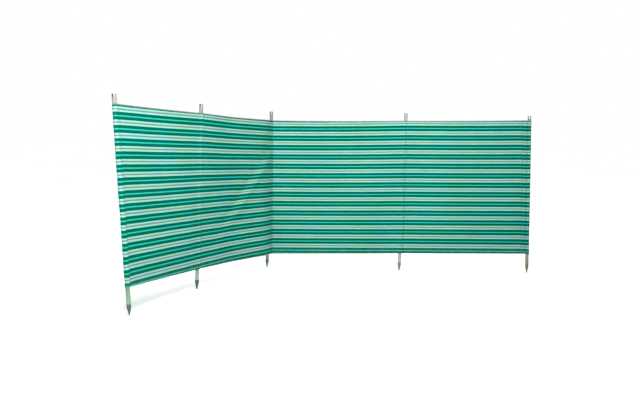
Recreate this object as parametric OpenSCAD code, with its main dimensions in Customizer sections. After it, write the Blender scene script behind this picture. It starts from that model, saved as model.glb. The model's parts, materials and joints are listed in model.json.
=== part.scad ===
// Beach windbreak: five wooden poles carry four bays of striped cloth in sewn sleeves.
// Millimetres. +Z is up, +X runs along the right wing, +Y points away from the sheltered side.
// The origin is the flat end of the corner pole's tip. Poles and bays are listed from left to right.

/* [Cloth] */
// Height of the cloth, from its bottom edge to its top edge
cloth_h = 1200; // [600:10:1350]
// Thickness of the cloth
cloth_t = 2; // [1:0.5:3]
// Height of the hem folded along the top and the bottom edge
hem_h = 14; // [8:1:40]
// Thickness of a folded hem
hem_t = 3; // [2:0.5:6]
// How far the middle of each bay stands out to the windward side
bay_fullness = [10, 22, 10, 8]; // [0:1:60]

/* [Sleeves] */
// Flat cloth between the round of an end pole's sleeve and its seam, at the left and the right end
end_flat = [15, 30]; // [3:1:40]
// How far the seams of the three other sleeves stand right of their poles, at the cloth's bottom edge
seam_low = [45, 42, 27]; // [-45:1:45]
// How far the same seams stand right of their poles, at the cloth's top edge
seam_high = [12, 13, 5]; // [-45:1:45]
// Play between a pole and its sleeve, on the radius
sleeve_play = 0.4; // [0.2:0.1:3]
// Clearance between sewn pieces
seam_gap = 0.3; // [0.1:0.1:0.8]

/* [Poles] */
// Diameter of a pole. Above 32, the corner sleeve cuts into the cloth in front of it
pole_d = 30; // [16:1:34]
// Chamfer around a pole's top end
pole_chamfer = 2; // [0.5:0.5:4]
// Width of the notch sawn through a pole's top end
notch_w = 12; // [6:1:14]
// Depth of the notch
notch_depth = 26; // [15:1:60]

/* [Tips] */
// Length of the tip's tapered point
point_len = 53; // [30:1:100]
// Diameter of the flat at the point's end
point_end_d = 7; // [4:0.5:12]
// Length of the collar that holds the pole's lower end
collar_len = 20; // [8:1:40]
// How far the collar stands proud of the pole, on the radius
collar_proud = 0.5; // [0:0.1:2]
// Wall of the collar
collar_wall = 1.4; // [0.8:0.2:3]
// Clearance between the collar and the pole's spigot
collar_fit = 0.2; // [0.1:0.05:0.5]
// Gap below the spigot, so that the pole's shoulder rests on the collar's rim
spigot_play = 0.5; // [0.3:0.1:0.9]

/* [Layout] */
// Distance between the poles of each bay, at half the cloth's height
bay_span = [1110, 1224, 1208, 1125]; // [500:1:1800]
// Heading of each bay, in degrees from +X towards +Y
bay_heading = [71, 67.2, 2.5, -3.1]; // [-90:0.1:90]
// Length of each pole above the cloth
pole_above = [64, 70, 81, 68, 41]; // [38:1:200]
// Length of each pole below the cloth, tip included
pole_below = [182, 159, 122, 158, 171]; // [90:1:250]
// Lean of each pole's top towards +X, in degrees
lean_x = [-3.5, 1.7, 1.8, 2.4, 0.5]; // [-6:0.1:6]
// Lean of each pole's top towards +Y, in degrees
lean_y = [0, 0.2, -0.1, 0, 0]; // [-6:0.1:6]
// Heading of the open way through each pole's notch, in degrees
notch_heading = [93, 83, 80, 95, 79]; // [79:1:101]

/* [Hidden] */
POLES = ["left_end", "left_middle", "corner", "right_middle", "right_end"];
BAYS = ["left_outer", "left_inner", "right_inner", "right_outer"];
PIECES_ON_POLES = ["pole", "tip", "sleeve"];
PIECES_ON_BAYS = ["panel", "top_hem", "bottom_hem"];

CORNER = 2;
LAST_POLE = len(POLES) - 1;
LAST_BAY = len(BAYS) - 1;
pole_len = [for (i = [0:LAST_POLE]) pole_below[i] + cloth_h + pole_above[i]];
pole_r = pole_d / 2;
collar_r = pole_r + collar_proud;
collar_bore_r = collar_r - collar_wall;
spigot_r = collar_bore_r - collar_fit;
shoulder_z = point_len + collar_len;
sleeve_bore_r = pole_r + sleeve_play;
sleeve_r = sleeve_bore_r + cloth_t;
seam_r = hem_t / 2;
seam_end = 1;
cut_past = 1;
round_fn = 96;
sleeve_fn = 32;
seam_fn = 16;
bay_columns = 16;
panel_rows = 8;
hem_rows = 1;

// A point of a pole's own frame, turned by the pole's lean: x and y across it, z along it.
function leaned(i, p) =
    let (
        y = p.y * cos(lean_y[i]) + p.z * sin(lean_y[i]),
        z = p.z * cos(lean_y[i]) - p.y * sin(lean_y[i])
    )
    [p.x * cos(lean_x[i]) + z * sin(lean_x[i]), y, z * cos(lean_x[i]) - p.x * sin(lean_x[i])];

// The middle of the cloth on a pole, reached bay by bay from the corner pole.
function bay_vector(b) = bay_span[b] * [cos(bay_heading[b]), sin(bay_heading[b]), 0];
function cloth_middle(i) =
    i < CORNER ? cloth_middle(i + 1) - bay_vector(i)
    : i > CORNER ? cloth_middle(i - 1) + bay_vector(i - 1)
    : leaned(CORNER, [0, 0, pole_below[CORNER] + cloth_h / 2]);

// The flat end of a pole's tip, and any point of the pole's own frame in the row's frame.
feet = [for (i = [0:LAST_POLE]) cloth_middle(i) - leaned(i, [0, 0, pole_below[i] + cloth_h / 2])];
function on_pole(i, p) = feet[i] + leaned(i, p);

// A bay's bow, flat beside the seams: how far the cloth stands to windward, across 0 to 1.
function bow(b, across) = bay_fullness[b] * pow(sin(180 * across), 2);

// The line where the cloth of one or two bays ends at a pole, in the pole's own frame. At an end
// pole it stands towards the bay. At any other pole the cloth of both bays passes in front of the
// sleeve, on the sheltered side, and meets on this line.
function along(b) = [cos(bay_heading[b]), sin(bay_heading[b]), 0];
function windward(b) = [-sin(bay_heading[b]), cos(bay_heading[b]), 0];
function is_end(i) = i == 0 || i == LAST_POLE;
function turn(i) = is_end(i) ? 0 : bay_heading[i - 1] - bay_heading[i];
function slide(i, up) = seam_low[i - 1] + (seam_high[i - 1] - seam_low[i - 1]) * up / cloth_h;
function bow_room(i) =
    let (most = max(abs(seam_low[i - 1]), abs(seam_high[i - 1])))
    max(bow(i - 1, most / bay_span[i - 1]), bow(i, most / bay_span[i]));
function cloth_end(i, up) =
    i == 0 ? (sleeve_r + end_flat[0] + seam_r) * along(0)
    : i == LAST_POLE ? -(sleeve_r + end_flat[1] + seam_r) * along(LAST_BAY)
    : let (
        front = sleeve_r + seam_gap + seam_r + bow_room(i),
        clear = (front - slide(i, up) * sin(turn(i))) / cos(turn(i))
    )
    slide(i, up) * along(i) - max(front, clear) * windward(i);

// How far a bay's cloth stops short of that line.
function trim(i) = seam_gap + seam_r * (is_end(i) ? 1 : abs(tan(turn(i) / 2)));

// A sleeve's seam: a rolled edge on that line at an end pole, and close behind both bays elsewhere,
// where a sharp corner lets it stand nearer, between their ends.
function behind(i) =
    let (flat = (2 * seam_r + seam_gap) / cos(turn(i) / 2))
    is_end(i) ? 0 : turn(i) > 0 ? min(flat, (seam_r + 2 * seam_gap - trim(i)) / sin(turn(i) / 2)) : flat;
function seam_at(i, up) =
    let (middle = bay_heading[min(i, LAST_BAY)] + turn(i) / 2)
    cloth_end(i, up) + behind(i) * [-sin(middle), cos(middle), 0] + [0, 0, pole_below[i] + up];

// A point of a bay's cloth: across 0 to 1 between the poles, up from the bottom edge, and to windward.
function line_point(i, up) = on_pole(i, cloth_end(i, up) + [0, 0, pole_below[i] + up]);
function cloth_point(b, across, up, out) =
    let (
        left = line_point(b, up),
        right = line_point(b + 1, up),
        heading = atan2(right.y - left.y, right.x - left.x),
        shift = trim(b) * (1 - across) - trim(b + 1) * across
    )
    left + (right - left) * across + shift * [cos(heading), sin(heading), 0]
        + (out + bow(b, across)) * [-sin(heading), cos(heading), 0];

// A closed sheet of a bay's cloth between two heights.
module cloth_sheet(b, low, high, thickness, rows) {
    row_points = bay_columns + 1;
    face_points = row_points * (rows + 1);
    function at(side, row, column) = side * face_points + row * row_points + column;
    function quad(a, b, c, d) = [[a, b, c], [a, c, d]];
    function cell(side, row, column) = [
        at(side, row, column), at(side, row, column + 1),
        at(side, row + 1, column + 1), at(side, row + 1, column)
    ];
    points = [
        for (side = [-1, 1]) for (row = [0:rows]) for (column = [0:bay_columns])
            cloth_point(b, column / bay_columns, low + (high - low) * row / rows, side * thickness / 2)
    ];
    faces = [
        for (row = [0:rows - 1]) for (column = [0:bay_columns - 1]) each concat(
            let (w = cell(1, row, column), s = cell(0, row, column))
            concat(quad(w[0], w[1], w[2], w[3]), quad(s[3], s[2], s[1], s[0]))
        ),
        for (column = [0:bay_columns - 1]) each concat(
            quad(at(1, 0, column + 1), at(1, 0, column), at(0, 0, column), at(0, 0, column + 1)),
            quad(at(1, rows, column), at(1, rows, column + 1), at(0, rows, column + 1), at(0, rows, column))
        ),
        for (row = [0:rows - 1]) each concat(
            quad(at(1, row, 0), at(1, row + 1, 0), at(0, row + 1, 0), at(0, row, 0)),
            quad(at(1, row + 1, bay_columns), at(1, row, bay_columns), at(0, row, bay_columns),
                at(0, row + 1, bay_columns))
        )
    ];
    polyhedron(points, faces);
}

module place_on_pole(i) {
    translate(feet[i]) rotate([-lean_y[i], lean_x[i], 0]) children();
}

// A round wooden pole, notched through its top end and turned down where it sits in its tip.
module pole(i) {
    color("#d2cfbf")
    place_on_pole(i)
    difference() {
        union() {
            translate([0, 0, point_len + spigot_play])
                cylinder(r = spigot_r, h = collar_len, $fn = round_fn);
            translate([0, 0, shoulder_z])
                cylinder(r = pole_r, h = pole_len[i] - shoulder_z - pole_chamfer, $fn = round_fn);
            translate([0, 0, pole_len[i] - pole_chamfer])
                cylinder(r1 = pole_r, r2 = pole_r - pole_chamfer, h = pole_chamfer, $fn = round_fn);
        }
        rotate([0, 0, notch_heading[i]])
            translate([-pole_r - cut_past, -notch_w / 2, pole_len[i] - notch_depth])
                cube([pole_d + 2 * cut_past, notch_w, notch_depth + cut_past]);
    }
}

// A pointed metal tip: its collar holds the pole's spigot, and the pole's shoulder rests on the rim.
module tip(i) {
    color("#5f6763")
    place_on_pole(i)
    rotate_extrude($fn = round_fn)
        polygon([
            [0, 0],
            [point_end_d / 2, 0],
            [collar_r, point_len],
            [collar_r, shoulder_z],
            [collar_bore_r, shoulder_z],
            [collar_bore_r, point_len],
            [0, point_len]
        ]);
}

// A sleeve of cloth around a pole, drawn out to the seam that closes it.
module sleeve(i) {
    color("#58bfa6")
    place_on_pole(i)
    difference() {
        hull() {
            translate([0, 0, pole_below[i]])
                cylinder(r = sleeve_r, h = cloth_h, $fn = sleeve_fn);
            for (up = [0, cloth_h - seam_end])
                translate(seam_at(i, up))
                    cylinder(r = seam_r, h = seam_end, $fn = seam_fn);
        }
        translate([0, 0, pole_below[i] - cut_past])
            cylinder(r = sleeve_bore_r, h = cloth_h + 2 * cut_past, $fn = round_fn);
    }
}

module panel(b) {
    color("#1d9f86")
        cloth_sheet(b, hem_h + seam_gap, cloth_h - hem_h - seam_gap, cloth_t, panel_rows);
}

module top_hem(b) {
    color("#b9dccd")
        cloth_sheet(b, cloth_h - hem_h, cloth_h, hem_t, hem_rows);
}

module bottom_hem(b) {
    color("#0a6e58")
        cloth_sheet(b, 0, hem_h, hem_t, hem_rows);
}

for (i = [0:LAST_POLE]) {
    pole(i);
    tip(i);
    sleeve(i);
}
for (b = [0:LAST_BAY]) {
    panel(b);
    top_hem(b);
    bottom_hem(b);
}
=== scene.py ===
import json
import math

import bpy
import numpy as np
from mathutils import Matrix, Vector


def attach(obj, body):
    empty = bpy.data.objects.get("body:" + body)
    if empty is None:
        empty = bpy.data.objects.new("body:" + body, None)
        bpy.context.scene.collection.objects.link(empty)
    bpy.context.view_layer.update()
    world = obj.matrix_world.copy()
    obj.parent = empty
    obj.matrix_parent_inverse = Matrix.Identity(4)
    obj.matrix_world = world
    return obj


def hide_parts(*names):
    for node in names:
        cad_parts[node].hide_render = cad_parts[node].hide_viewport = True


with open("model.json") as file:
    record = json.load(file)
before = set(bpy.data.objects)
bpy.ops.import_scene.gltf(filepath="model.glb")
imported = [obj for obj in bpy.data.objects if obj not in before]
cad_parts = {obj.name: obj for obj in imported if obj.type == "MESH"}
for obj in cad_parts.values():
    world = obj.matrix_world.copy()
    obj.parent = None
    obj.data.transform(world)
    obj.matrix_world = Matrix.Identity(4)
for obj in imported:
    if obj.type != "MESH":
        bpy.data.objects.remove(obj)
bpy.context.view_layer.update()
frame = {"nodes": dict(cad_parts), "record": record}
NODES = frame["nodes"]
RECORD = frame["record"]

POLES = ["left_end", "left_middle", "corner", "right_middle", "right_end"]
BAYS = ["left_outer", "left_inner", "right_inner", "right_outer"]
LAST_POLE = len(POLES) - 1
LAST_BAY = len(BAYS) - 1

# Metres. The first three are as in the CAD.
CLOTH_H = 1.2          # height of the cloth
HEM_H = 0.014          # height of the folded hems
POLE_R = 0.015
CLOTH_T = 0.0008       # thickness of the cloth
HEM_OUT = 0.0011       # from the middle of the cloth to the face of a folded hem
BAY_W = 1.15           # nominal width of a bay's cloth, for spacing things along it
MID_H = CLOTH_H / 2


def scene_setup():
    """Camera, floor and light."""
    scene = bpy.context.scene
    # the camera's place, tilt and lens are fitted to where the cloth's corners are seen
    cam = bpy.data.cameras.new("camera")
    cam.lens = 48.75
    cam.sensor_width = 36
    cam.clip_end = 400
    eye = bpy.data.objects.new("camera", cam)
    eye.location = (0.4794, -7.8065, 0.9247)
    eye.rotation_euler = (math.radians(90 - 2.331), 0, 0)
    scene.collection.objects.link(eye)
    scene.camera = eye
    scene.view_settings.view_transform = "Standard"

    # a plain floor that slopes by two degrees, so that it meets the five tips
    slope_x, slope_y, below = -0.0215, 0.0346, -0.0110
    half = 120
    corners = ((-half, -half), (half, -half), (half, half), (-half, half))
    verts = [(x, y, slope_x * x + slope_y * y + below) for x, y in corners]
    mesh = bpy.data.meshes.new("floor")
    mesh.from_pydata(verts, [], [(0, 1, 2, 3)])
    floor = bpy.data.objects.new("floor", mesh)
    scene.collection.objects.link(floor)
    floor.data.materials.append(floor_material())

    # the world is white to the camera, and lights the scene far less than that
    world = bpy.data.worlds.new("studio")
    scene.world = world
    world.use_nodes = True
    nt = world.node_tree
    back = nt.nodes["Background"]
    back.inputs["Color"].default_value = (1, 1, 1, 1)
    path = nt.nodes.new("ShaderNodeLightPath")
    level = nt.nodes.new("ShaderNodeMapRange")
    level.inputs["To Min"].default_value = 0.16
    level.inputs["To Max"].default_value = 1.0
    nt.links.new(path.outputs["Is Camera Ray"], level.inputs["Value"])
    nt.links.new(level.outputs[0], back.inputs["Strength"])

    def lamp(light, place, target):
        obj = bpy.data.objects.new(light.name, light)
        obj.location = place
        obj.rotation_euler = (Vector(target) - Vector(place)).to_track_quat("-Z", "Y").to_euler()
        scene.collection.objects.link(obj)

    def area(name, place, target, size, energy, colour):
        light = bpy.data.lights.new(name, "AREA")
        light.size = size
        light.energy = energy
        light.color = colour
        lamp(light, place, target)

    sun = bpy.data.lights.new("sun", "SUN")
    sun.energy = 3.2
    sun.angle = math.radians(30)
    lamp(sun, (0.05, -0.06, 1.0), (0, 0, 0))
    area("key", (0.3, -5.0, 3.1), (0.6, -0.6, 0.7), 1.6, 230, (1.0, 0.99, 0.98))
    area("back_fill", (0.2, 5.0, 3.4), (0.6, -0.4, 0.7), 2.6, 170, (0.98, 0.99, 1.0))


# ---------------------------------------------------------------- materials

class Nodes:
    """Short hand for building a node tree."""

    def __init__(self, name):
        self.mat = bpy.data.materials.new(name)
        self.mat.use_nodes = True
        self.nt = self.mat.node_tree
        self.shader = self.nt.nodes["Principled BSDF"]

    def put(self, socket, value):
        if isinstance(value, bpy.types.NodeSocket):
            self.nt.links.new(value, socket)
        elif isinstance(value, (tuple, list)) and len(value) == 3 and len(socket.default_value) == 4:
            socket.default_value = (*value, 1)
        else:
            socket.default_value = value

    def math(self, op, a, b=None, c=None):
        n = self.nt.nodes.new("ShaderNodeMath")
        n.operation = op
        for i, v in enumerate((a, b, c)):
            if v is not None:
                self.put(n.inputs[i], v)
        return n.outputs[0]

    def times(self, a, b):
        return self.math("MULTIPLY", a, b)

    def plus(self, a, b):
        return self.math("ADD", a, b)

    def minus(self, a, b):
        return self.math("SUBTRACT", a, b)

    def combine(self, x, y, z):
        n = self.nt.nodes.new("ShaderNodeCombineXYZ")
        for i, v in enumerate((x, y, z)):
            self.put(n.inputs[i], v)
        return n.outputs[0]

    def separate(self, v):
        n = self.nt.nodes.new("ShaderNodeSeparateXYZ")
        self.put(n.inputs[0], v)
        return n.outputs[0], n.outputs[1], n.outputs[2]

    def noise(self, vector, scale, detail=2.0, rough=0.5):
        n = self.nt.nodes.new("ShaderNodeTexNoise")
        self.put(n.inputs["Vector"], vector)
        n.inputs["Scale"].default_value = scale
        n.inputs["Detail"].default_value = detail
        n.inputs["Roughness"].default_value = rough
        return n.outputs["Fac"]

    def mix(self, fac, a, b, blend="MIX"):
        n = self.nt.nodes.new("ShaderNodeMix")
        n.data_type = "RGBA"
        n.blend_type = blend
        self.put(n.inputs[0], fac)
        self.put(n.inputs[6], a)
        self.put(n.inputs[7], b)
        return n.outputs[2]

    def shade(self, colour, by):
        """A colour times a number, above or below 1."""
        return self.mix(1.0, colour, self.combine(by, by, by), "MULTIPLY")

    def ramp(self, fac, stops, kind="LINEAR"):
        n = self.nt.nodes.new("ShaderNodeValToRGB")
        r = n.color_ramp
        r.interpolation = kind
        while len(r.elements) < len(stops):
            r.elements.new(0.5)
        # the places come first, because a stop that moves past another changes their order
        for e, (place, _) in zip(r.elements, stops):
            e.position = place
        for e, (place, colour) in zip(r.elements, stops):
            e.position = place
            e.color = (*colour, 1)
        self.put(n.inputs[0], fac)
        return n.outputs[0]

    def spread(self, fac, low, high, to_low=0.0, to_high=1.0):
        n = self.nt.nodes.new("ShaderNodeMapRange")
        self.put(n.inputs["Value"], fac)
        n.inputs["From Min"].default_value = low
        n.inputs["From Max"].default_value = high
        n.inputs["To Min"].default_value = to_low
        n.inputs["To Max"].default_value = to_high
        return n.outputs[0]

    def bump(self, height, distance, strength=1.0, normal=None):
        n = self.nt.nodes.new("ShaderNodeBump")
        n.inputs["Distance"].default_value = distance
        n.inputs["Strength"].default_value = strength
        self.put(n.inputs["Height"], height)
        if normal is not None:
            self.put(n.inputs["Normal"], normal)
        return n.outputs[0]

    def place(self, kind, name=None):
        if kind == "UV":
            n = self.nt.nodes.new("ShaderNodeUVMap")
            n.uv_map = name
            return n.outputs[0]
        n = self.nt.nodes.new("ShaderNodeTexCoord")
        return n.outputs[kind]


def linear(r, g, b):
    """A colour in sRGB, 0 to 255, as a linear one."""
    shares = (c / 255 for c in (r, g, b))
    return tuple(c / 12.92 if c <= 0.04045 else ((c + 0.055) / 1.055) ** 2.4 for c in shares)


def floor_material():
    m = Nodes("pale_floor")
    spot = m.noise(m.place("Object"), 0.8, 3.0)
    pale = m.ramp(spot, [(0.3, (0.88, 0.88, 0.87)), (0.7, (0.92, 0.92, 0.915))])
    m.put(m.shader.inputs["Base Color"], pale)
    m.shader.inputs["Roughness"].default_value = 0.9
    return m.mat


DARK = (0.000, 0.122, 0.077)
TEAL = (0.026, 0.520, 0.412)
LIGHT = (0.292, 0.640, 0.540)
GREY = (0.176, 0.276, 0.230)
TOP_EDGE_GREY = (0.215, 0.275, 0.255)
# the colour of the painted shade in creases and along sewn edges
CREASE_SHADE = (0.004, 0.045, 0.034)
# the colour of the painted shade along the bottom edge
LOW_EDGE_SHADE = (0.20, 0.22, 0.16)
THREAD = 0.0011        # from one thread of the weave to the next
PERIOD = 0.0852        # height of one repeat of the stripes
FIRST_DARK = 0.0420    # from the top edge to the first full dark stripe
# The stripes of one repeat from the top down, as heights and colours.
REPEAT = [
    (0.0211, DARK), (0.0089, TEAL), (0.0214, DARK), (0.0107, LIGHT), (0.0112, GREY), (0.0119, LIGHT),
]


def cloth_material(name, creases=()):
    """Woven striped cloth.

    The UV map "cloth" holds metres along the cloth and up it, and "weft" the height that sets the stripe.
    Each crease has its place along the cloth, its width and the depth of its painted shade.
    """
    m = Nodes(name)
    u, v, _ = m.separate(m.place("UV", "cloth"))
    # the stripes wander by a fraction of a millimetre, as woven ones do
    drift = m.noise(m.combine(u, v, 0.0), 7.0, 3.0)
    wander = m.times(m.minus(drift, 0.5), 0.0022)
    _, weft, _ = m.separate(m.place("UV", "weft"))
    down = m.minus(m.minus(CLOTH_H, weft), wander)
    repeats = m.math("DIVIDE", m.minus(down, FIRST_DARK), PERIOD)
    phase = m.math("FRACT", m.plus(repeats, 4.0))      # four more, so that it is never negative
    stops, at = [], 0.0
    for width, colour in REPEAT:
        stops.append((at / PERIOD, colour))
        at += width
    stripes = m.ramp(phase, stops, "CONSTANT")
    # yarn: each weft thread has its own shade, drawn out along the cloth
    slub = m.noise(m.combine(m.times(u, 9.0), m.times(v, 900.0), 3.0), 1.0, 2.0)
    colour = m.shade(stripes, m.spread(slub, 0.3, 0.7, 0.86, 1.12))
    # slow drift between a bluer and a greener cast, and patches bleached by the sun
    clouds = m.noise(m.combine(u, m.times(v, 2.5), 8.0), 3.0, 2.0)
    cast = m.mix(m.spread(clouds, 0.38, 0.62), (0.93, 1.0, 1.08), (1.05, 1.0, 0.94))
    colour = m.mix(1.0, colour, cast, "MULTIPLY")
    bleach = m.spread(m.noise(m.combine(u, v, 21.0), 2.2, 4.0, 0.6), 0.35, 0.70, 0.97, 1.06)
    # painted light and shade: the cloth is painted paler towards its top edge, and painted darker at the right
    # end of the row, as shade there
    height = m.spread(v, 0.0, CLOTH_H, 0.84, 1.03)
    right = m.spread(u, 3.9, 4.8, 1.0, 0.86)
    colour = m.shade(colour, m.times(bleach, m.times(height, right)))
    # a grey band along the top edge, at its fold
    fold = m.spread(v, CLOTH_H - 0.0080, CLOTH_H - 0.0070, 0.0, 0.85)
    colour = m.mix(fold, colour, TOP_EDGE_GREY)
    # painted shade along creases and sewn edges
    for place, wide, deep in creases:
        away = m.math("ABSOLUTE", m.minus(u, place))
        uneven = m.spread(m.noise(m.combine(u, v, 60.0), 30.0, 3.0), 0.3, 0.7, 0.75, 1.15)
        crease_shade = m.times(m.spread(away, 0.0, wide, deep, 0.0), uneven)
        colour = m.mix(crease_shade, colour, CREASE_SHADE)
    # painted shade along the bottom edge, in grey patches
    near_edge = m.spread(v, 0.0, 0.10, 0.20, 0.0)
    patches = m.spread(m.noise(m.combine(u, v, 33.0), 16.0, 4.0, 0.6), 0.35, 0.7)
    colour = m.mix(m.times(near_edge, patches), colour, LOW_EDGE_SHADE)
    # plain weave: in each cell of the grid of threads, either the warp or the weft is on top
    warp = m.math("SINE", m.times(u, math.pi / THREAD))
    weft_wave = m.math("SINE", m.times(v, math.pi / THREAD))
    over = m.math("GREATER_THAN", m.times(warp, weft_wave), 0.0)
    weave = m.plus(m.times(m.math("ABSOLUTE", warp), over),
                   m.times(m.math("ABSOLUTE", weft_wave), m.minus(1.0, over)))
    # painted shade: each thread is painted darker towards its edges, where it dips between crossings
    colour = m.shade(colour, m.spread(weave, 0.0, 0.7, 0.72, 1.0))
    m.put(m.shader.inputs["Base Color"], colour)
    pucker = m.noise(m.combine(u, m.times(v, 1.6), 5.0), 26.0, 3.0)
    rise = m.bump(pucker, 0.004, 0.5)
    m.put(m.shader.inputs["Normal"], m.bump(weave, 0.0004, 0.6, rise))
    m.put(m.shader.inputs["Roughness"], m.spread(weave, 0.0, 1.0, 0.95, 0.80))
    m.shader.inputs["Specular IOR Level"].default_value = 0.005
    m.shader.inputs["Sheen Weight"].default_value = 0.02
    m.shader.inputs["Sheen Tint"].default_value = (0.10, 0.75, 0.55, 1)
    m.shader.inputs["Sheen Roughness"].default_value = 0.5
    return m.mat


def wood_material(name, pale, deep, dirt, seed, low_tint, side):
    """Weathered round wood: grain along the pole, fine cracks, a tint low down and painted shade on the left side
    of its top.

    side is where the pole's axis stands near its top, in metres along X; the painted shade lies to its left.
    """
    m = Nodes(name)
    x, y, z = m.separate(m.place("Object"))

    def along_pole(across, along, shift, detail, rough=0.5):
        """Noise drawn out along the pole."""
        spot = m.combine(m.times(x, across), m.times(y, across), m.math("MULTIPLY_ADD", z, along, shift))
        return m.noise(spot, 1.0, detail, rough)

    fibre = along_pole(160.0, 5.0, seed, 5.0, 0.62)
    band = along_pole(42.0, 1.3, seed + 7.0, 3.0)
    grain = m.plus(m.times(fibre, 0.6), m.times(band, 0.4))
    bright = tuple(min(1.0, c * 1.12) for c in pale)
    colour = m.ramp(grain, [(0.34, deep), (0.50, pale), (0.66, bright)])
    crack = along_pole(420.0, 7.0, seed + 3.0, 2.0)
    split = m.spread(crack, 0.66, 0.72)
    colour = m.mix(m.times(split, 0.7), colour, (0.07, 0.065, 0.05))
    stain = m.spread(along_pole(14.0, 6.0, seed, 4.0, 0.6), 0.45, 0.70)
    colour = m.mix(m.times(stain, dirt), colour, (0.12, 0.125, 0.10))
    low_down = m.spread(z, 0.30, 0.10)                     # from no tint to full tint, going down
    colour = m.mix(low_down, colour, m.mix(1.0, colour, low_tint, "MULTIPLY"))
    # painted shade: the left side of the pole's top is painted nearly black
    high_up = m.spread(z, 1.345, 1.385)
    shaded_left = m.spread(x, side - 0.002, side - 0.009, 0.12, 0.88)
    colour = m.mix(m.times(high_up, shaded_left), colour, (0.045, 0.047, 0.046))
    m.put(m.shader.inputs["Base Color"], colour)
    m.put(m.shader.inputs["Roughness"], m.spread(grain, 0.3, 0.7, 0.86, 0.68))
    ridge = m.minus(grain, m.times(split, 0.6))
    m.put(m.shader.inputs["Normal"], m.bump(ridge, 0.0012, 0.7))
    m.shader.inputs["Specular IOR Level"].default_value = 0.3
    return m.mat


def metal_material(name, coat, bare, seed):
    """Dull coated metal, scuffed and dusted with sand."""
    m = Nodes(name)
    x, y, z = m.separate(m.place("Object"))
    here = m.combine(x, y, m.plus(z, seed))
    streaks = m.noise(m.combine(m.times(x, 3.0), m.times(y, 3.0), z), 75.0, 5.0, 0.7)
    scuff = m.spread(streaks, 0.50, 0.62)
    fleck = m.spread(m.noise(here, 240.0, 3.0, 0.6), 0.52, 0.66)
    drift = m.noise(here, 28.0, 3.0)
    dull = tuple(c * 0.75 for c in coat)
    bright = tuple(min(1.0, c * 1.3) for c in coat)
    colour = m.mix(drift, dull, bright)
    colour = m.mix(m.times(scuff, 0.75), colour, bare)
    colour = m.mix(m.times(fleck, 0.25), colour, (0.26, 0.23, 0.17))
    m.put(m.shader.inputs["Base Color"], colour)
    m.shader.inputs["Metallic"].default_value = 0.15
    m.put(m.shader.inputs["Roughness"], m.spread(scuff, 0.0, 1.0, 0.62, 0.40))
    relief = m.plus(scuff, m.times(fleck, 0.5))
    m.put(m.shader.inputs["Normal"], m.bump(relief, 0.0006, 0.6))
    return m.mat


def thread_material():
    m = Nodes("sewing_thread")
    twist = m.noise(m.place("Object"), 1800.0, 1.0)
    green = m.ramp(twist, [(0.35, linear(18, 92, 76)), (0.65, linear(52, 132, 112))])
    m.put(m.shader.inputs["Base Color"], green)
    m.shader.inputs["Roughness"].default_value = 0.7
    m.shader.inputs["Sheen Weight"].default_value = 0.2
    m.put(m.shader.inputs["Normal"], m.bump(twist, 0.0003, 0.6))
    return m.mat


# ---------------------------------------------------------------- the row's own lines

MOUNTS = {mount["name"]: mount for mount in RECORD["mounts"]}


class Pole:
    """A pole's axis, and the line on it where the cloth of its bays ends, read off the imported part."""

    def __init__(self, i):
        self.name = POLES[i]
        end = MOUNTS[self.name + "_tip_end"]
        self.foot = np.array(end["pos_m"])
        self.up = -np.array(end["axis"])
        along, _ = self.split(self.name + "_sleeve")
        self.low, self.high = along.min(), along.max()
        self.line = []
        for level, which in ((self.low, "bottom"), (self.high, "top")):
            ends = []
            for bay in BAYS[max(i - 1, 0):i + 1]:
                along, out = self.split(f"{bay}_{which}_hem")
                at_level = out[np.abs(along - level) < 0.0005]
                nearest = at_level[np.argsort(np.linalg.norm(at_level, axis=1))[:2]]
                ends.append(nearest.mean(0))
            self.line.append(np.mean(ends, 0))

    def split(self, node):
        """A node's vertices as heights along the axis and offsets from it."""
        co = np.array([v.co for v in NODES[node].data.vertices]) - self.foot
        along = co @ self.up
        return along, co - along[:, None] * self.up

    def axis_at(self, up):
        """The axis at heights up: an array, metres above the cloth's bottom edge."""
        return self.foot + self.up * (self.low + np.asarray(up)[..., None] * (self.high - self.low) / CLOTH_H)

    def line_at(self, up):
        t = np.asarray(up)[..., None] / CLOTH_H
        return self.axis_at(up) + self.line[0] * (1 - t) + self.line[1] * t


poles = [Pole(i) for i in range(len(POLES))]


def bell(x, middle, width):
    return np.exp(-((x - middle) / width) ** 2)


def smooth(x, low, high):
    t = np.clip((x - low) / (high - low), 0, 1)
    return t * t * (3 - 2 * t)


def ripples(u, v, seed, count, reach, slant):
    """A few long soft waves of the cloth with fixed, uneven phases: metres in, about -1 to 1 out."""
    total = 0
    for k in range(count):
        turn = math.sin(seed * 12.9898 + k * 78.233) * 43758.5453 % 1
        other = math.sin(seed * 39.3467 + k * 11.135) * 24634.6345 % 1
        angle = slant * (2 * turn - 1)
        wave = reach * (0.6 + 0.9 * other)
        total = total + np.sin(2 * math.pi * ((u * math.sin(angle) + v * math.cos(angle)) / wave + turn * 7))
    return total / count


def past_fold(a, v):
    """How far along the left inner bay a point lies past its soft fold. a and v are 0 to 1."""
    return a - (0.34 + 1.15 * (v - 0.25))


def fold_depth(v):
    """The soft fold is deepest a little below the middle, and fades up and down. v is 0 to 1."""
    return bell(v, 0.46, 0.27)


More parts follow.
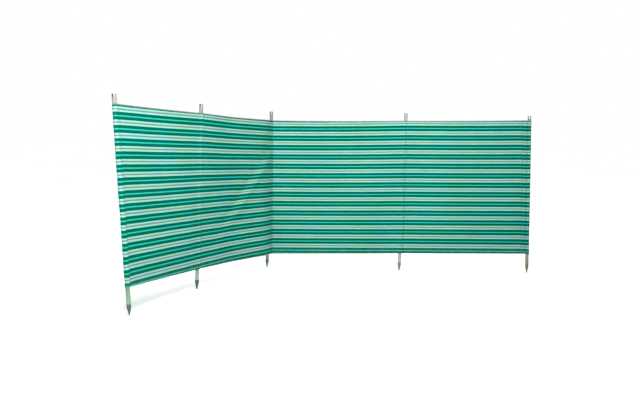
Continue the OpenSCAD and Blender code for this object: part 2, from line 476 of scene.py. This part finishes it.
def windward(b, a, up):
    """How far a bay's cloth stands to windward of the plane between its seams, in metres."""
    v = up / CLOTH_H
    edge = smooth(a, 0, 0.12) * smooth(1 - a, 0, 0.12)
    u = a * BAY_W
    if b == 0:
        out = 0.009 * np.sin(math.pi * a)
        out = out + edge * 0.0030 * ripples(u, up, 3, 4, 0.42, 1.3)
        out = out + edge * 0.0016 * ripples(u, up, 5, 4, 0.17, 1.0)
        out = out - 0.005 * bell(a, 0.80, 0.10) * bell(v, 0.22, 0.25)
    elif b == 1:
        out = 0.030 * bell(a, 0.42, 0.26) * (0.85 + 0.15 * (1 - v)) * smooth(a, 0, 0.1)
        out = out - 0.014 * bell(a, 0.86, 0.10) * smooth(1 - a, 0, 0.06)
        # a soft fold that runs from the lower middle up to the right
        past = past_fold(a, v)
        out = out - 0.013 * bell(past, 0.045, 0.050) * fold_depth(v)
        out = out + 0.009 * bell(past, -0.055, 0.055) * fold_depth(v)
        out = out + edge * 0.0032 * ripples(u, up, 8, 4, 0.36, 1.2)
        out = out + edge * 0.0016 * ripples(u, up, 2, 4, 0.15, 1.0)
    elif b == 2:
        out = 0.010 * np.sin(math.pi * a)
        out = out + edge * 0.0016 * ripples(u, up, 4, 4, 0.45, 0.9)
        out = out + edge * 0.0008 * ripples(u, up, 6, 4, 0.16, 0.8)
    else:
        out = 0.008 * np.sin(math.pi * a) - 0.006 * bell(a, 0.90, 0.07)
        out = out + edge * 0.0016 * ripples(u, up, 7, 4, 0.45, 0.9)
        out = out + edge * 0.0009 * ripples(u, up, 9, 4, 0.16, 0.8)
    return out


def drop(b, a, up):
    """How far the cloth sags between the poles."""
    most = (0.002, 0.003, 0.004, 0.002)[b]
    return most * np.sin(math.pi * a) * (0.4 + 0.6 * up / CLOTH_H)


# How far the cloth lies back from the two poles that press it forward, and turns back into a seam.
LIES_BACK = 0.0085
TURNS_BACK = 0.0026


def cloth(b, a, up, lift=0.0):
    """Points of a bay's cloth, and its width there.

    a is 0 to 1 between the seams and up metres, both arrays of one shape. lift is metres to windward.
    """
    left, right = poles[b], poles[b + 1]
    start, end = left.line_at(up), right.line_at(up)
    way = end - start
    way[..., 2] = 0
    span = np.linalg.norm(way, axis=-1)
    way = way / span[..., None]
    out = np.stack([-way[..., 1], way[..., 0], np.zeros_like(span)], -1)
    stand = windward(b, a, up)
    # the cloth is pressed forward by a pole between two straight bays, and lies back away from it
    for pole, seam_side, here in ((left, start, a * span), (right, end, (a - 1) * span)):
        if pole.name not in ("left_middle", "right_middle"):
            continue
        off = here + ((seam_side - pole.axis_at(up)) * way).sum(-1)
        stand = stand + bell(here, 0, 0.20) * LIES_BACK * (1 - bell(off, -0.002, 0.021))
    # the cloth turns back into the seams between two bays
    for place, here in ((b, a * span), (b + 1, (1 - a) * span)):
        if 0 < place < LAST_POLE:
            stand = stand + TURNS_BACK * bell(here, 0, 0.0035)
    point = start + (end - start) * a[..., None] + out * (stand + lift)[..., None]
    point[..., 2] -= drop(b, a, up)
    return point, span


# The cloth hangs a little out of true: how far the stripes lie below level at each pole, in metres,
# at the cloth's bottom and top edges.
OUT_OF_TRUE = [(0.017, 0.008), (0.008, 0.003), (-0.012, 0.008), (0.0, 0.0), (0.004, 0.004)]


def out_of_true(i, up):
    low, high = OUT_OF_TRUE[i]
    return low + (high - low) * up / CLOTH_H


def weft_height(b, a, up):
    """The height that sets the stripes' colours at a point of a bay."""
    height = up + out_of_true(b, up) * (1 - a) + out_of_true(b + 1, up) * a
    if b == 1:                                         # the weft dips beside the soft fold
        v = up / CLOTH_H
        past = past_fold(a, v)
        dip = bell(past, -0.07, 0.08) - 0.8 * bell(past, 0.06, 0.06)
        height = height + 0.0045 * dip * fold_depth(v)
    return height


# ---------------------------------------------------------------- meshes

def new_mesh(name, verts, faces, uvs, material):
    """A smooth mesh object. uvs holds metres along the cloth, metres up it and the weft height."""
    mesh = bpy.data.meshes.new(name)
    mesh.from_pydata([tuple(p) for p in verts], [], [tuple(int(i) for i in f) for f in faces])
    if uvs is not None:
        index = np.zeros(len(mesh.loops), int)
        mesh.loops.foreach_get("vertex_index", index)
        uvs = np.asarray(uvs)[index].astype(np.float32)
        for kind, columns in (("cloth", (0, 1)), ("weft", (0, 2))):
            layer = mesh.uv_layers.new(name=kind)
            layer.data.foreach_set("uv", uvs[:, columns].ravel())
    mesh.polygons.foreach_set("use_smooth", [True] * len(mesh.polygons))
    mesh.materials.append(material)
    mesh.update()
    obj = bpy.data.objects.new(name, mesh)
    bpy.context.scene.collection.objects.link(obj)
    return obj


def grid(name, points, uvs, material, closed=False):
    """A mesh from a grid of points (rows, columns, 3), with its last column joined to its first if closed."""
    rows, cols = points.shape[:2]
    index = np.arange(rows * cols).reshape(rows, cols)
    right = np.roll(index, -1, 1) if closed else index[:, 1:]
    here = index if closed else index[:, :-1]
    faces = np.stack([here[:-1], right[:-1], right[1:], here[1:]], -1).reshape(-1, 4)
    return new_mesh(name, points.reshape(-1, 3), faces, uvs.reshape(-1, 3), material)


def thicken(obj):
    """Give a sheet the cloth's thickness, half of it on each side."""
    mod = obj.modifiers.new("thickness", "SOLIDIFY")
    mod.thickness = CLOTH_T
    mod.offset = 0.0
    mod.use_even_offset = False
    mod.use_rim = True


def finer_at_ends(count):
    """Places from 0 to 1 across a bay, closer together beside the two seams."""
    near = 0.012 / BAY_W
    inner = np.linspace(near, 1 - near, count)
    ends = np.linspace(0, near, 7)[:-1]
    return np.concatenate([ends, inner, (1 - ends)[::-1]])


START_U = [0.0, 1.15, 2.40, 3.66]                      # where each bay starts along the row's cloth
cloth_mat = cloth_material("striped_cloth")
thread_mat = thread_material()


def make_panel(b):
    """A bay's cloth, which reaches a little under its hems and stops just short of the seams."""
    name = BAYS[b]
    gap = 0.0002 / BAY_W
    edge = HEM_H - 0.001
    ups = np.linspace(edge, CLOTH_H - edge, 132)
    a, up = np.meshgrid(finer_at_ends(150), ups)
    points, span = cloth(b, gap + a * (1 - 2 * gap), up)
    uv = np.stack([START_U[b] + a * span, up, weft_height(b, a, up)], -1)
    obj = grid(name + "_cloth", points, uv, cloth_mat)
    thicken(obj)
    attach(obj, "root")
    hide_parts(name + "_panel")
    return obj


def make_hem(b, which):
    """A hem: the cloth folded over twice and sewn down, with slight puckers along the stitches."""
    name = BAYS[b]
    low = 0.0 if which == "bottom" else CLOTH_H - HEM_H
    a = finer_at_ends(260)
    around = 14
    blunt = 0.35                                       # how soon a fold reaches its full thickness
    pucker_pitch = 0.0085
    rows = []
    uvs = []
    for k in range(around):
        turn = 2 * math.pi * k / around
        t = 0.5 - 0.5 * math.cos(turn)                 # 0 at the outer edge, 1 at the sewn edge
        side = math.sin(turn)
        up = np.full_like(a, low + HEM_H * (t if which == "bottom" else 1 - t))
        thick = HEM_OUT * (1 - 0.35 * t) * side / max(abs(side), blunt) * min(1, abs(side) / blunt)
        phase = a * BAY_W / pucker_pitch * 2 * math.pi + 1.7 * np.sin(a * 31 + b)
        pucker = 0.00035 * np.sin(phase) * bell(t, 0.72, 0.25)
        points, span = cloth(b, a, up, np.full_like(a, thick) + pucker)
        points[..., 2] += 0.0004 * np.sin(a * 97 + b * 2.0) * (1 - t)
        rows.append(points)
        uvs.append(np.stack([START_U[b] + a * span, up, weft_height(b, a, up)], -1))
    points = np.stack(rows, 1)
    uv = np.stack(uvs, 1)
    obj = grid(f"{name}_{which}_hem_fold", points, uv, cloth_mat, closed=True)
    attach(obj, "root")
    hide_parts(f"{name}_{which}_hem")
    return obj


STITCH_PITCH = 0.0052
STITCH_LONG = 0.0036
STITCH_R = 0.00042
STITCH_SIDES = 5
# The rings of a stitch: how far along it, how thick and how high, as shares of its length and radius.
STITCH_RINGS = [(0.0, 0.45, -0.3), (0.22, 1.0, 0.55), (0.78, 1.0, 0.55), (1.0, 0.45, -0.3)]


def stitch_row(name, lines):
    """Rows of separate stitches. lines is a list of (points, sides): dense points and the way each side faces."""
    verts, faces = [], []
    last_ring = (len(STITCH_RINGS) - 1) * STITCH_SIDES
    for points, sides in lines:
        step = np.linalg.norm(np.diff(points, axis=0), axis=1)
        reach = np.concatenate([[0], np.cumsum(step)])

        def at(distance):
            k = min(int(np.searchsorted(reach, distance)), len(points) - 1)
            t = (distance - reach[k - 1]) / max(reach[k] - reach[k - 1], 1e-9)
            return points[k - 1] * (1 - t) + points[k] * t, sides[k]

        for start in np.arange(STITCH_PITCH, reach[-1] - STITCH_PITCH, STITCH_PITCH):
            (p, n), (q, _) = at(start), at(start + STITCH_LONG)
            way = (q - p) / np.linalg.norm(q - p)
            third = np.cross(way, n)
            third /= np.linalg.norm(third)
            n = np.cross(third, way)
            base = len(verts)
            for t, size, rise in STITCH_RINGS:
                c = p * (1 - t) + q * t + n * STITCH_R * rise
                for k in range(STITCH_SIDES):
                    turn = 2 * math.pi * k / STITCH_SIDES
                    verts.append(c + (math.cos(turn) * third + math.sin(turn) * n) * STITCH_R * size)
            for ring in range(base, base + last_ring, STITCH_SIDES):
                for k in range(STITCH_SIDES):
                    i, j = ring + k, ring + (k + 1) % STITCH_SIDES
                    faces.append((i, j, j + STITCH_SIDES, i + STITCH_SIDES))
            faces.append(tuple(base + k for k in reversed(range(STITCH_SIDES))))
            faces.append(tuple(base + last_ring + k for k in range(STITCH_SIDES)))
    obj = new_mesh(name, verts, faces, None, thread_mat)
    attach(obj, "root")
    return obj


def bay_normal(b):
    """The level way to windward of a bay."""
    way = poles[b + 1].line_at(np.array(MID_H)) - poles[b].line_at(np.array(MID_H))
    way[2] = 0
    way /= np.linalg.norm(way)
    return np.array([-way[1], way[0], 0.0])


def hem_stitches(b):
    """A row of stitches on each face of a bay's two hems."""
    lines = []
    a = np.linspace(0.004, 0.996, 320)
    n = bay_normal(b)
    for level in (HEM_H - 0.0032, CLOTH_H - HEM_H + 0.0032):
        for side in (-1, 1):
            points, _ = cloth(b, a, np.full_like(a, level), np.full_like(a, side * HEM_OUT))
            lines.append((points, np.tile(n * side, (len(a), 1))))
    return stitch_row(f"{BAYS[b]}_hem_stitches", lines)


def seam_stitches(b):
    """A row of stitches on each face at each end of a bay, where the cloth is sewn to the sleeves."""
    lines = []
    up = np.linspace(0.006, CLOTH_H - 0.006, 330)
    n = bay_normal(b)
    inset = 0.0058
    for place, at_end in ((inset, b == 0), (BAY_W - inset, b == LAST_BAY)):
        a = np.full_like(up, place / BAY_W)
        over = 0.0018 if at_end else 0.0005            # at the row's ends they lie over the sleeve's flaps
        for side in (-1, 1):
            points, _ = cloth(b, a, up, np.full_like(a, side * over))
            lines.append((points, np.tile(n * side, (len(a), 1))))
    return stitch_row(f"{BAYS[b]}_seam_stitches", lines)


# How far from the pole's axis the two faces of an end sleeve part.
END_CREASE = {0: 0.0225, LAST_POLE: 0.0195}
# How far the flaps of an end sleeve reach over each face of the cloth.
FLAP_INSETS = (0.0085, 0.0060, 0.0030)
FLAT_POINTS = 10


def sleeve_ring(i, way, reach, up_way):
    """A sleeve's outline across the pole: from the seam round the pole and back to the seam."""
    r = POLE_R + 0.0010
    side = np.cross(up_way, way)
    crease = min(END_CREASE.get(i, reach), reach)
    tangent = math.acos(r / crease)
    seam_half, crease_half = 0.0006, 0.0010            # half of the gap between the two faces
    slope_points, round_points = 5, 34
    half = []
    for k in range(FLAT_POINTS):                       # from the seam to the crease
        t = k / FLAT_POINTS
        half.append((reach + (crease - reach) * t, seam_half + 0.0004 * t))
    for k in range(slope_points):                      # from the crease to the round
        t = k / slope_points
        half.append((crease + (r * math.cos(tangent) - crease) * t,
                     crease_half + (r * math.sin(tangent) - crease_half) * t))
    turns = tangent + (2 * math.pi - 2 * tangent) * np.arange(round_points + 1) / round_points
    spots = half + [(r * math.cos(t), r * math.sin(t)) for t in turns] + [(x, -y) for x, y in reversed(half)]
    return np.array([way * x + side * y for x, y in spots])


def end_flaps(i, bay, ups):
    """The edges of an end sleeve that are sewn over both faces of the cloth, as columns of points."""
    flaps = []
    nominal = 1.13                                     # width of an outer bay
    for face, insets in ((1, FLAP_INSETS), (-1, FLAP_INSETS[::-1])):
        lift = np.full_like(ups, HEM_OUT * face * (1 if i == 0 else -1))
        for inset in insets:
            places = np.full_like(ups, inset / nominal if i == 0 else 1 - inset / nominal)
            flaps.append(cloth(bay, places, ups, lift)[0])
    return flaps


def make_sleeve(i):
    """A pole's sleeve, and the length of its outline at the bottom edge."""
    pole = poles[i]
    ups = np.linspace(0, CLOTH_H, 96)
    bay, a = (i, 0.0) if i < LAST_POLE else (LAST_BAY, 1.0)
    ends, _ = cloth(bay, np.full_like(ups, a), ups)
    at_end = i in (0, LAST_POLE)
    flaps = end_flaps(i, bay, ups) if at_end else []
    before, after = flaps[:len(FLAP_INSETS)], flaps[len(FLAP_INSETS):]
    rows = []
    for row, (up, end) in enumerate(zip(ups, ends)):
        axis = pole.axis_at(np.array(up))
        out = end - axis
        out -= (out @ pole.up) * pole.up
        reach = np.linalg.norm(out)
        # between two bays the seam lies just behind the cloth
        ring = sleeve_ring(i, out / reach, reach if at_end else max(reach - 0.0008, POLE_R + 0.0014), pole.up)
        away = ring / np.linalg.norm(ring, axis=1, keepdims=True)
        around = np.linspace(0, 1, len(ring))
        slack = 0.0007 * np.sin(up * 37 + i) * np.sin(around * 11 + up * 9)
        slack = slack + 0.0006 * np.sin(up * 83 + around * 17 + i)
        slack = (0.0011 + slack) * np.sin(math.pi * around).clip(0) ** 0.5
        ring = axis + ring + away * slack[:, None]
        if at_end:
            ring = np.concatenate([[f[row] for f in before], ring, [f[row] for f in after]])
        rows.append(ring)
    points = np.stack(rows, 0)
    length = np.concatenate([[0], np.cumsum(np.linalg.norm(np.diff(points[0], axis=0), axis=1))])
    # each sleeve starts at its own place along the cloth, and the last in its right end, where the cloth is
    # painted darker as shade
    start = 5.2 if i == LAST_POLE else -3.0 - 0.37 * i
    # painted shade along the sleeve's two creases and, at the row's ends, along its sewn edges
    crease = length[len(before) + FLAT_POINTS]
    creases = [(start + crease, 0.0030, 0.75), (start + length[-1] - crease, 0.0030, 0.75)]
    if at_end:
        creases += [(start, 0.0022, 0.8), (start + length[-1], 0.0022, 0.8)]
    across, height = np.meshgrid(start + length, ups)
    uv = np.stack([across, height, weft_height(bay, a, height) + 0.002], -1)
    obj = grid(POLES[i] + "_pocket", points, uv, cloth_material("sleeve_cloth_" + POLES[i], creases))
    thicken(obj)
    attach(obj, "root")
    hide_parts(POLES[i] + "_sleeve")
    return obj, float(length[-1])


scene_setup()

for b in range(len(BAYS)):
    panel = make_panel(b)
    top, bottom = make_hem(b, "top"), make_hem(b, "bottom")
    hems, seams = hem_stitches(b), seam_stitches(b)
    width = float(np.linalg.norm(poles[b].line_at(np.array(MID_H)) - poles[b + 1].line_at(np.array(MID_H))))

for i in range(len(POLES)):
    pocket, around = make_sleeve(i)

# For each pole: its wood's pale and deep colours, its share of stain and its tint low down.
WOOD = {
    "left_end": (linear(146, 150, 146), linear(92, 98, 90), 0.35, (0.62, 1.0, 0.74)),
    "left_middle": (linear(152, 156, 152), linear(94, 100, 94), 0.45, (0.88, 1.02, 0.92)),
    "corner": (linear(146, 154, 150), linear(96, 104, 98), 0.40, (1.12, 1.22, 1.16)),
    "right_middle": (linear(158, 166, 164), linear(108, 116, 112), 0.30, (1.02, 1.12, 1.10)),
    "right_end": (linear(128, 140, 122), linear(84, 94, 76), 0.50, (0.80, 0.80, 0.68)),
}
# For each tip: its coat's colour and that of the bare metal.
TIP = {
    "left_end": (linear(44, 78, 50), linear(96, 112, 98)),
    "left_middle": (linear(10, 80, 64), linear(66, 104, 92)),
    "corner": (linear(62, 96, 84), linear(118, 134, 126)),
    "right_middle": (linear(100, 106, 104), linear(146, 152, 148)),
    "right_end": (linear(68, 92, 70), linear(110, 122, 108)),
}


def cover(node, material):
    NODES[node].data.materials.clear()
    NODES[node].data.materials.append(material)


for k, name in enumerate(POLES):
    pale, deep, dirt, low_tint = WOOD[name]
    side = float(poles[k].axis_at(np.array(CLOTH_H + 0.03))[0])
    cover(name + "_pole", wood_material(name + "_wood", pale, deep, dirt, 3.7 * k, low_tint, side))
    coat, bare = TIP[name]
    cover(name + "_tip", metal_material(name + "_metal", coat, bare, 1.9 * k))

bpy.context.view_layer.update()
